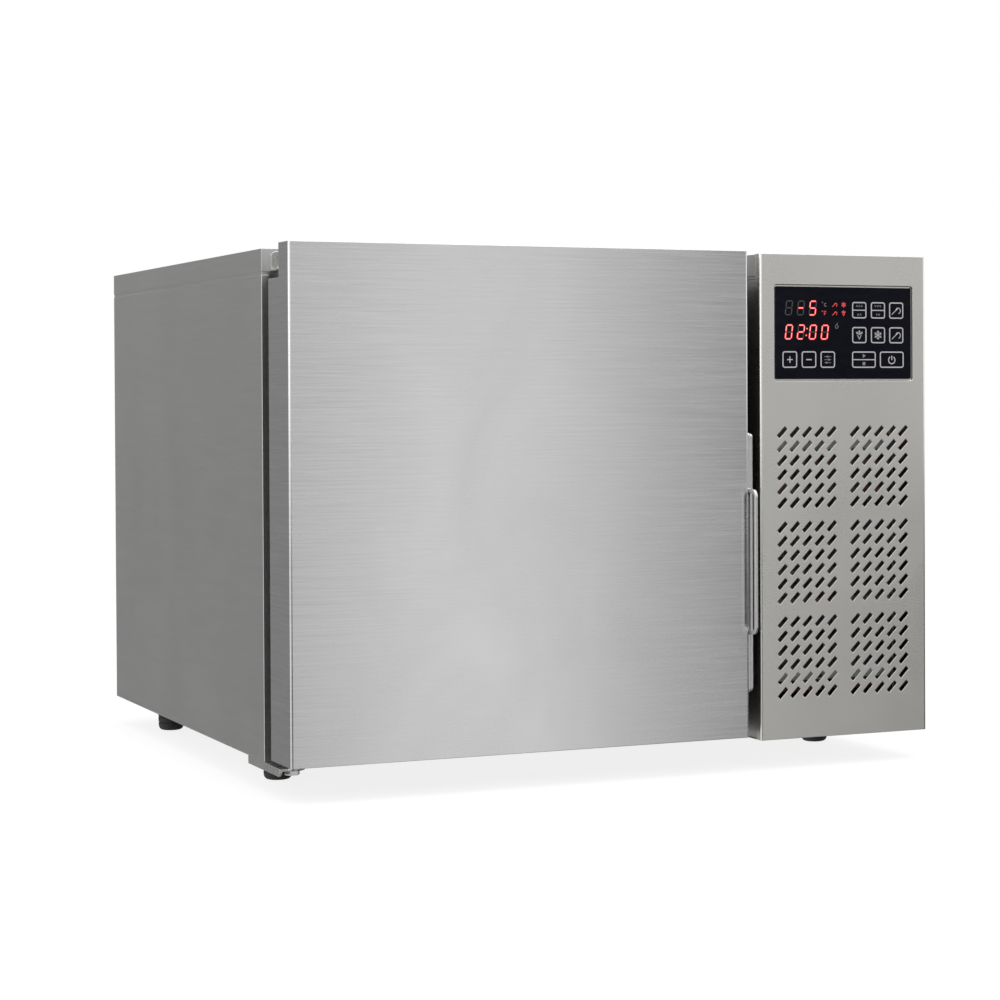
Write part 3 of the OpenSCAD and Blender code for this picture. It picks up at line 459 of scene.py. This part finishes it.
def dress_cad_nodes():
    """Gives each CAD node the material of its slot, and rounds its edges where they show."""
    slots = {s["node"]: s["material_slot"] for s in frame["record"]["subparts"]}
    slots["door_skin"] = "door_steel"
    for name, obj in frame["nodes"].items():
        obj.data.materials.clear()
        obj.data.materials.append(MATERIALS[slots[name]])
        if name in ROUNDING:
            weld = obj.modifiers.new("weld", "WELD")
            weld.merge_threshold = 1e-6
            bevel = obj.modifiers.new("bevel", "BEVEL")
            bevel.width = ROUNDING[name] * MM
            bevel.segments = 2
            bevel.limit_method = "ANGLE"
            bevel.angle_limit = math.radians(40)
            bevel.use_clamp_overlap = False
            bevel.loop_slide = False
            bevel.harden_normals = True


# ---- mesh helpers ----

def add_piece(name, bm, material, body, replaced=(), smooth=True, sharp=35):
    """Makes a piece of bm that rides on the body; edges over sharp degrees stay crisp."""
    bmesh.ops.recalc_face_normals(bm, faces=bm.faces)
    mesh = bpy.data.meshes.new(name)
    bm.to_mesh(mesh)
    bm.free()
    mesh.materials.append(MATERIALS[material])
    obj = bpy.data.objects.new(name, mesh)
    bpy.context.scene.collection.objects.link(obj)
    if smooth:
        mesh.shade_smooth()
        mesh.set_sharp_from_angle(angle=math.radians(sharp))
    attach(obj, body)
    if replaced:
        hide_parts(*replaced)


def lathe(bm, profile, steps, place):
    """Turns (radius, height) points, in millimetres, about Z and puts the result at place."""
    rings = []
    for radius, height in profile:
        if radius < 1e-6:
            rings.append([bm.verts.new(place @ Vector((0, 0, height * MM)))])
            continue
        turn = [2 * math.pi * k / steps for k in range(steps)]
        points = [Vector((radius * math.cos(a), radius * math.sin(a), height)) * MM for a in turn]
        rings.append([bm.verts.new(place @ point) for point in points])
    for low, high in zip(rings, rings[1:]):
        for k in range(steps):
            a, b = low[k % len(low)], low[(k + 1) % len(low)]
            c, d = high[(k + 1) % len(high)], high[k % len(high)]
            corners = [v for i, v in enumerate((a, b, c, d)) if v not in (a, b, c, d)[:i]]
            if len(corners) > 2:
                bm.faces.new(corners)


def arc(cx, cy, radius, start, end, steps):
    """Points on an arc, angles in degrees."""
    angles = [math.radians(start + (end - start) * i / steps) for i in range(steps + 1)]
    return [(cx + radius * math.cos(a), cy + radius * math.sin(a)) for a in angles]


def rounded_loop(x0, y0, x1, y1, radius, steps=6):
    """Points round a rectangle with rounded corners."""
    corners = ((x1 - radius, y0 + radius, -90), (x1 - radius, y1 - radius, 0),
               (x0 + radius, y1 - radius, 90), (x0 + radius, y0 + radius, 180))
    return [p for cx, cy, start in corners for p in arc(cx, cy, radius, start, start + 90, steps)]


class Ink:
    """Thin raised shapes drawn on the front of the control glass, in x and z."""

    # Shapes that cross stand at different heights, a step apart in turn
    STEP = 0.0004
    STEPS = 8

    def __init__(self, front, rise):
        self.bm = bmesh.new()
        self.front = front
        self.rise = rise
        self.count = 0

    def layers(self, outline):
        """The outline's vertices on the glass and in front of it; later shapes stand a hair higher."""
        self.count += 1
        rise = self.rise + self.STEP * (self.count % self.STEPS)
        return [[self.bm.verts.new(at(x, self.front - depth, z)) for x, z in outline]
                for depth in (0.0, rise)]

    def prism(self, outline):
        """A filled outline."""
        back, face = self.layers(outline)
        n = len(outline)
        self.bm.faces.new(face)
        self.bm.faces.new(reversed(back))
        for k in range(n):
            self.bm.faces.new((back[k], back[(k + 1) % n], face[(k + 1) % n], face[k]))

    def ribbon(self, points, width, closed=False):
        """A line of that width through the points, with mitred corners."""
        n = len(points)
        sides = []
        for i, point in enumerate(points):
            p = Vector(point)
            tangents = []
            if closed or i > 0:
                tangents.append((p - Vector(points[i - 1])).normalized())
            if closed or i < n - 1:
                tangents.append((Vector(points[(i + 1) % n]) - p).normalized())
            normals = [Vector((-t.y, t.x)) for t in tangents]
            mitre = sum(normals, Vector((0, 0))).normalized()
            reach = width / 2 / max(0.5, mitre.dot(normals[0]))
            sides.append((p + mitre * reach, p - mitre * reach))
        left_back, left_face = self.layers([s[0] for s in sides])
        self.count -= 1
        right_back, right_face = self.layers([s[1] for s in sides])
        for k in range(n if closed else n - 1):
            m = (k + 1) % n
            self.bm.faces.new((left_face[k], left_face[m], right_face[m], right_face[k]))
            self.bm.faces.new((left_back[m], left_back[k], right_back[k], right_back[m]))
            self.bm.faces.new((left_back[k], left_back[m], left_face[m], left_face[k]))
            self.bm.faces.new((right_face[k], right_face[m], right_back[m], right_back[k]))
        if not closed:
            for k in (0, n - 1):
                self.bm.faces.new((left_back[k], left_face[k], right_face[k], right_back[k]))

    def finish(self, name, material, slot):
        """Makes a piece of everything drawn in this ink."""
        add_piece(name, self.bm, material, "cabinet", smooth=False)


# ---- control panel ----

SEGMENTS = {"a": ((0, 2), (1, 2)), "b": ((1, 1), (1, 2)), "c": ((1, 0), (1, 1)), "d": ((0, 0), (1, 0)),
            "e": ((0, 0), (0, 1)), "f": ((0, 1), (0, 2)), "g": ((0, 1), (1, 1))}
DIGITS = {"0": "abcdef", "2": "abged", "5": "afgcd", "-": "g", " ": ""}
DIGIT_W, DIGIT_H, BAR, SLANT = 7.9, 14.3, 1.55, 0.125
BAR_GAP = 0.16
# Widths of a bar's bright core and of an unlit bar, as shares of a lit bar
CORE_SHARE, UNLIT_SHARE = 0.42, 0.8
TOP_DIGITS_Z, LOW_DIGITS_Z = 421.0, 398.6
TOP_DIGITS_X = (477.9, 490.5, 503.2)
LOW_DIGITS_X = (477.8, 490.5, 503.2, 515.9)
COLON_X, COLON_ZS = 501.0, (402.7, 408.9)

# Left edges of the key columns, and low and high edges of the key rows
KEY_W = 15.6
LEFT_KEYS_X = (475.7, 496.0, 516.1)
RIGHT_KEYS_X = (550.2, 570.5, 590.5)
TOP_ROW, MIDDLE_ROW, LOW_ROW = (418.9, 434.4), (395.6, 410.9), (372.4, 387.9)
START_KEY_X, POWER_KEY_X = (550.0, 575.8), (580.2, 606.4)
ICON_LINE = 0.7


def segment(name, x, z, bar):
    """Outline of one bar of a seven-segment digit whose low left corner is x, z."""
    (ax, az), (bx, bz) = SEGMENTS[name]
    inner_w, inner_h = DIGIT_W - BAR, (DIGIT_H - BAR) / 2
    p = Vector((BAR / 2 + ax * inner_w, BAR / 2 + az * inner_h))
    q = Vector((BAR / 2 + bx * inner_w, BAR / 2 + bz * inner_h))
    t = (q - p).normalized()
    n = Vector((-t.y, t.x)) * bar / 2
    gap = BAR_GAP + (BAR - bar) / 2
    p, q = p + t * gap, q - t * gap
    points = [p, p + t * bar / 2 - n, q - t * bar / 2 - n, q, q - t * bar / 2 + n, p + t * bar / 2 + n]
    return [(x + v.x + SLANT * v.y, z + v.y) for v in points]


def draw_digit(inks, x, z, sign):
    """The digit's lit bars, each with a bright core, and its unlit ones, which carry a faint painted glow.
    """
    lit = DIGITS[sign]
    for name in SEGMENTS:
        if name in lit:
            inks["red"].prism(segment(name, x, z, BAR))
            inks["core"].prism(segment(name, x, z, BAR * CORE_SHARE))
        else:
            inks["off"].prism(segment(name, x, z, BAR * UNLIT_SHARE))


def ray(degrees, length):
    """A vector of that length, turned up from the x axis."""
    angle = math.radians(degrees)
    return Vector((math.cos(angle), math.sin(angle))) * length


def barbs(ink, base, degrees, r, width):
    """The two short side strokes on an arm of a flake."""
    for turn in (-50, 50):
        ink.ribbon([base, base + ray(degrees + turn, 0.36 * r)], 0.8 * width)


def flake(ink, x, z, r, width):
    """Snowflake of three crossing arms with barbs near both ends."""
    middle = Vector((x, z))
    for degrees in (90, 150, 210):
        arm = ray(degrees, r)
        ink.ribbon([middle - arm, middle + arm], width)
        barbs(ink, middle - 0.52 * arm, degrees + 180, r, width)
        barbs(ink, middle + 0.52 * arm, degrees, r, width)


def probe(ink, x, z, r, width):
    """Needle probe with its curled lead."""
    ink.ribbon([(x - r, z - 0.75 * r), (x + 0.1 * r, z + 0.25 * r)], width)
    ink.ribbon([(x, z + 0.2 * r), (x + 0.35 * r, z + 0.55 * r)], 2 * width)
    ink.ribbon(arc(x + 0.42 * r, z + 0.02 * r, 0.58 * r, 95, -75, 9), width)


def sprout(ink, x, z, r, width):
    """Soft-chill sign: the top half of a flake over two leaves."""
    middle = Vector((x, z))
    for degrees in (35, 90, 145):
        arm = ray(degrees, r)
        ink.ribbon([middle, middle + arm], width)
        barbs(ink, middle + 0.5 * arm, degrees, r, width)
    ink.ribbon([(x - 0.5 * r, z - 0.05 * r), (x, z - 0.95 * r), (x + 0.5 * r, z - 0.05 * r)], width)


def key(ink, edges, row, split=False):
    """A key's rounded outline, with a bar across its middle when it has two functions."""
    (x0, x1), (z0, z1) = edges, row
    inset, line = 0.6, 1.15
    outline = rounded_loop(x0 + inset, z0 + inset, x1 - inset, z1 - inset, 1.9)
    ink.ribbon(outline, line, closed=True)
    if split:
        middle = (z0 + z1) / 2
        ink.ribbon([(x0 + 2 * inset, middle), (x1 - 2 * inset, middle)], 0.95)


def dot(ink, x, z, r):
    """A filled round dot."""
    ink.prism(arc(x, z, r, 0, 337.5, 15))


def draw_displays(inks):
    """The two rows of digits and the colon between hours and minutes."""
    for x, sign in zip(TOP_DIGITS_X, " -5"):
        draw_digit(inks, x, TOP_DIGITS_Z, sign)
    for x, sign in zip(LOW_DIGITS_X, "0200"):
        draw_digit(inks, x, LOW_DIGITS_Z, sign)
    for z in COLON_ZS:
        x = COLON_X + (z - COLON_ZS[0]) * SLANT
        dot(inks["red"], x, z, 0.85)
        dot(inks["core"], x, z, 0.4)


def draw_indicators(grey, dim):
    """Small signs right of the digits: the two degree units, probes, flakes and a timer mark."""
    unit_line = 0.55
    for ink, z in ((grey, 431.6), (dim, 423.4)):
        ink.ribbon(arc(518.3, z + 1.9, 0.55, 0, 330, 11), 0.3, closed=True)
    grey.ribbon(arc(521.6, 431.3, 1.35, 50, 310, 9), unit_line)
    dim.ribbon([(520.3, 421.6), (520.3, 425.2), (522.6, 425.2)], unit_line)
    dim.ribbon([(520.3, 423.4), (522.2, 423.4)], 0.5)
    for z in (431.4, 423.4):
        probe(dim, 531.4, z, 2.6, 0.6)
    flake(dim, 541.1, 431.6, 2.5, 0.62)
    sprout(dim, 541.1, 423.8, 2.5, 0.6)
    timer = [(534.7, 414.6), (532.6, 411.9)] + arc(533.6, 410.9, 1.5, 150, 395, 11) + [(534.1, 412.5)]
    grey.ribbon(timer, 0.5)


def draw_chevrons(grey, x, outward):
    """Three chevrons over two, pointing up when outward is 1 and down when it is -1."""
    pitch, reach, line = 2.6, 0.8, 0.5
    for z, count in ((430.6, 3), (422.6, 2)):
        for i in range(count):
            tip = x + (i - (count - 1) / 2) * pitch
            foot = z - 0.9 * outward
            grey.ribbon([(tip - reach, foot), (tip, z + 0.7 * outward), (tip + reach, foot)], line)


def draw_right_keys(white, grey):
    """Six keys in two rows: the set-point keys with chevrons, and the four programme keys."""
    for column, x in enumerate(RIGHT_KEYS_X):
        key(white, (x, x + KEY_W), TOP_ROW, split=column < 2)
        key(white, (x, x + KEY_W), MIDDLE_ROW)
    for x, outward in zip(RIGHT_KEYS_X, (1, -1)):
        draw_chevrons(grey, x + KEY_W / 2, outward)
    probe(white, 598.2, 426.4, 4.7, 0.75)
    sprout(white, 558.0, 403.6, 4.3, ICON_LINE)
    flake(white, 578.3, 403.3, 4.3, ICON_LINE)
    probe(white, 598.2, 403.1, 4.7, 0.75)


def draw_low_keys(white, grey):
    """The bottom row: plus, minus, sliders, start over stop, and power."""
    for x in LEFT_KEYS_X:
        key(white, (x, x + KEY_W), LOW_ROW)
    line, z = 1.0, 380.1
    white.ribbon([(480.6, z), (486.6, z)], line)
    white.ribbon([(483.6, z - 3), (483.6, z + 3)], line)
    white.ribbon([(500.8, z), (506.8, z)], 1.1)
    for i, knob in enumerate((-1.4, 1.2, -0.3)):
        slider_z = 377.3 + 2.8 * i
        grey.ribbon([(520.3, slider_z), (527.5, slider_z)], 0.5)
        dot(grey, 523.9 + knob, slider_z, 0.95)
    key(white, START_KEY_X, LOW_ROW, split=True)
    grey.prism([(561.6, 381.9), (565.0, 383.8), (561.6, 385.7)])
    grey.prism([(561.4, 374.9), (564.4, 374.9), (564.4, 377.9), (561.4, 377.9)])
    key(white, POWER_KEY_X, LOW_ROW)
    white.ribbon(arc(593.3, 379.8, 3.5, 122, 418, 22), line)
    white.ribbon([(593.3, 379.9), (593.3, 384.0)], line)


# Each ink's material, and how far it stands out of the glass
INKS = {
    # The unlit bars' ink carries a faint painted glow.
    "white": ("ink_white", 0.03), "grey": ("ink_grey", 0.03), "off": ("unlit_bar_painted_glow", 0.02),
    "red": ("led_red", 0.024), "dim": ("led_dim", 0.03), "core": ("led_core", 0.034),
}


def build_panel_graphics():
    front = layout_box("control_glass")[0][1]
    inks = {name: Ink(front, rise) for name, (_, rise) in INKS.items()}
    draw_displays(inks)
    draw_indicators(inks["grey"], inks["dim"])
    draw_right_keys(inks["white"], inks["grey"])
    draw_low_keys(inks["white"], inks["grey"])
    for name, (material, _) in INKS.items():
        inks[name].finish("panel_" + material, material, "panel_glass")


# ---- gasket, feet, screws and fins ----

def build_gasket():
    """Magnetic door gasket: a dart base, two bellows folds and the magnet head, swept round the door."""
    (x0, y0, z0), (x1, y1, z1) = layout_box("door_gasket")
    half = [(y0, 9.6), (y0 + 1.2, 10.0), (y0 + 3.0, 9.6), (y0 + 4.2, 7.2), (y0 + 5.4, 5.6), (y0 + 6.8, 6.4),
            (y0 + 8.2, 7.9), (y0 + 9.4, 7.7), (y0 + 10.6, 6.2), (y0 + 12.0, 5.8), (y0 + 13.2, 7.4),
            (y0 + 14.0, 9.0), (y0 + 15.2, 9.8), (y1 - 2.4, 9.9), (y1 - 0.8, 9.6), (y1 - 0.2, 8.8), (y1, 7.6)]
    profile = half + [(y, -u) for y, u in reversed(half)]
    middle, corner_radius = 10, 11
    path = rounded_loop(x0 + middle, z0 + middle, x1 - middle, z1 - middle, corner_radius, 8)
    inner = middle + corner_radius
    bm = bmesh.new()
    rings = []
    for x, z in path:
        centre = Vector((min(max(x, x0 + inner), x1 - inner), min(max(z, z0 + inner), z1 - inner)))
        out = (Vector((x, z)) - centre).normalized()
        rings.append([bm.verts.new(at(x + out.x * u, y, z + out.y * u)) for y, u in profile])
    count = len(profile)
    for a, b in zip(rings, rings[1:] + rings[:1]):
        for k in range(count):
            m = (k + 1) % count
            bm.faces.new((a[k], a[m], b[m], b[k]))
    add_piece("gasket_bellows", bm, "gasket", "door", ["door_gasket"])


def build_feet():
    """Moulded rubber feet with a chamfered tread, two grip grooves and a flange under the pan."""
    for name in ("front_left", "front_right", "rear_left", "rear_right"):
        low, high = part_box("foot_" + name)
        mid = (low + high) / 2
        top = high.z / MM
        hollow = [(0, 2.2), (5.0, 2.2), (5.8, 1.6), (6.2, 0.2)]
        tread = [(7.0, 0.0), (8.8, 0.0), (10.4, 0.5), (11.6, 1.5), (12.5, 3.0), (12.9, 5.0), (13.0, 7.2)]
        grooves = [(12.5, 7.7), (12.5, 8.3), (13.1, 8.8), (13.2, 13.2), (12.7, 13.7), (12.7, 14.3),
                   (13.3, 14.8)]
        flange = [(13.4, top - 3.6), (13.9, top - 3.1), (14.0, top - 2.4), (14.0, top - 0.4), (13.7, top)]
        profile = hollow + tread + grooves + flange + [(0, top)]
        bm = bmesh.new()
        lathe(bm, profile, 56, Matrix.Translation((mid.x, mid.y, 0)))
        add_piece("rubber_foot_" + name, bm, "foot_rubber", "cabinet", ["foot_" + name])


HEAD_RADIUS, HEAD_HEIGHT = 3.6, 2.4
SHANK_RADIUS, SHANK_LENGTH = 1.85, 4.0
REAR_SCREWS_X, REAR_SCREWS_Z = (9, 445, 461, 621), (51.5, 241.5, 436.5)
UPPER_BRACKET_SCREWS_X, UPPER_BRACKET_Y, UPPER_BRACKET_Z = (19, 43), 75.5, 465.5
LOWER_BRACKET_SCREWS_Y, LOWER_BRACKET_X, LOWER_BRACKET_Z = (90, 108), 12.5, 25


def screw_mesh():
    """Pan head with a cross recess and a short shank, head towards +Z, as a mesh in metres."""
    radius, height = HEAD_RADIUS, HEAD_HEIGHT
    bm = bmesh.new()
    shank = [(0, -SHANK_LENGTH), (SHANK_RADIUS, -SHANK_LENGTH), (SHANK_RADIUS, 0.0)]
    crown = [(radius, 0.0), (radius, height * 0.45), (radius * 0.94, height * 0.72),
             (radius * 0.78, height * 0.9), (radius * 0.5, height * 0.985), (0, height)]
    lathe(bm, shank + crown, 40, Matrix.Identity(4))
    bmesh.ops.recalc_face_normals(bm, faces=bm.faces)
    head = bpy.data.meshes.new("screw_head")
    bm.to_mesh(head)
    bm.free()
    bm = bmesh.new()
    square = ((-1, -1), (1, -1), (1, 1), (-1, 1))
    foot, mouth = (0.28, 0.10, 0.35), (0.62, 0.15, 1.2)
    for degrees in (0, 90):
        turn = Matrix.Rotation(math.radians(degrees), 3, "Z")
        low, high = [
            [bm.verts.new(turn @ Vector((x * long * radius, y * wide * radius, up * height)) * MM)
             for x, y in square]
            for long, wide, up in (foot, mouth)]
        bm.faces.new(reversed(low))
        bm.faces.new(high)
        for k in range(4):
            bm.faces.new((low[k], low[(k + 1) % 4], high[(k + 1) % 4], high[k]))
    cutter = bpy.data.meshes.new("screw_recess")
    bm.to_mesh(cutter)
    bm.free()
    body = bpy.data.objects.new("screw_body", head)
    tool = bpy.data.objects.new("screw_tool", cutter)
    for obj in (body, tool):
        bpy.context.scene.collection.objects.link(obj)
    cut = body.modifiers.new("recess", "BOOLEAN")
    cut.operation = "DIFFERENCE"
    cut.solver = "EXACT"
    cut.use_self = True
    cut.object = tool
    bpy.context.view_layer.update()
    result = bpy.data.meshes.new_from_object(body.evaluated_get(bpy.context.evaluated_depsgraph_get()))
    for obj in (body, tool):
        bpy.data.objects.remove(obj)
    return result


def join(bm, mesh, place):
    """Adds a copy of the mesh to bm, moved by place."""
    start = len(bm.verts)
    bm.from_mesh(mesh)
    bm.verts.ensure_lookup_table()
    for v in bm.verts[start:]:
        v.co = place @ v.co


def screw_place(point, tilt, twist):
    """Puts a screw at the point with its head turned from +Z by tilt about X, twisted about its axis."""
    tilted = Matrix.Rotation(math.radians(tilt), 4, "X")
    return Matrix.Translation(point) @ tilted @ Matrix.Rotation(math.radians(twist), 4, "Z")


def build_screws():
    """The rear panels' screws and the hinge brackets' screws, each head twisted its own way."""
    mesh = screw_mesh()
    rear_y = layout_box("rear_panel")[1][1]
    bm = bmesh.new()
    for i, x in enumerate(REAR_SCREWS_X):
        for j, z in enumerate(REAR_SCREWS_Z):
            join(bm, mesh, screw_place(at(x, rear_y, z), -90, 37 * i + 11 * j))
    add_piece("rear_cross_screws", bm, "screw_steel", "cabinet", ["rear_panel_screws"],
              sharp=30)
    bm = bmesh.new()
    for i, x in enumerate(UPPER_BRACKET_SCREWS_X):
        join(bm, mesh, screw_place(at(x, UPPER_BRACKET_Y, UPPER_BRACKET_Z), 90, 20 + 50 * i))
    for i, y in enumerate(LOWER_BRACKET_SCREWS_Y):
        join(bm, mesh, screw_place(at(LOWER_BRACKET_X, y, LOWER_BRACKET_Z), 180, 35 + 40 * i))
    add_piece("hinge_cross_screws", bm, "screw_steel", "cabinet", ["hinge_screws"], sharp=30)


FIN_COUNT = 70
FIN_WAVES = 12
FIN_FOIL = 0.14
FIN_RIPPLE = 0.4
FIN_OVERHANG = 3.0


def build_condenser_fins():
    """Foil fins with a ripple along their depth, between the condenser's side plates."""
    (x0, y0, z0), (x1, y1, z1) = layout_box("condenser_fins")
    bm = bmesh.new()
    first, span = x0 - FIN_OVERHANG, x1 - x0 + 2 * FIN_OVERHANG
    front_to_back = [(0.0, k) for k in range(FIN_WAVES + 1)]
    back_to_front = [(FIN_FOIL, k) for k in range(FIN_WAVES, -1, -1)]
    for i in range(FIN_COUNT):
        x = first + span * i / (FIN_COUNT - 1)
        low, high = [
            [bm.verts.new(at(x + FIN_RIPPLE * (k % 2) + foil, y0 + (y1 - y0) * k / FIN_WAVES, z))
             for foil, k in front_to_back + back_to_front]
            for z in (z0, z1)]
        n = len(low)
        for k in range(n):
            bm.faces.new((low[k], low[(k + 1) % n], high[(k + 1) % n], high[k]))
        for k in range(FIN_WAVES):
            for loop in (low, high):
                bm.faces.new((loop[k], loop[k + 1], loop[n - 2 - k], loop[n - 1 - k]))
    add_piece("condenser_foil_fins", bm, "fin_aluminium", "cabinet", ["condenser_fins"],
              smooth=False)


add_camera()
light_studio()
add_stage()
dress_cad_nodes()
build_panel_graphics()
build_gasket()
build_feet()
build_screws()
build_condenser_fins()

bpy.context.scene.view_settings.view_transform = "Standard"
bpy.context.scene.view_settings.look = "None"
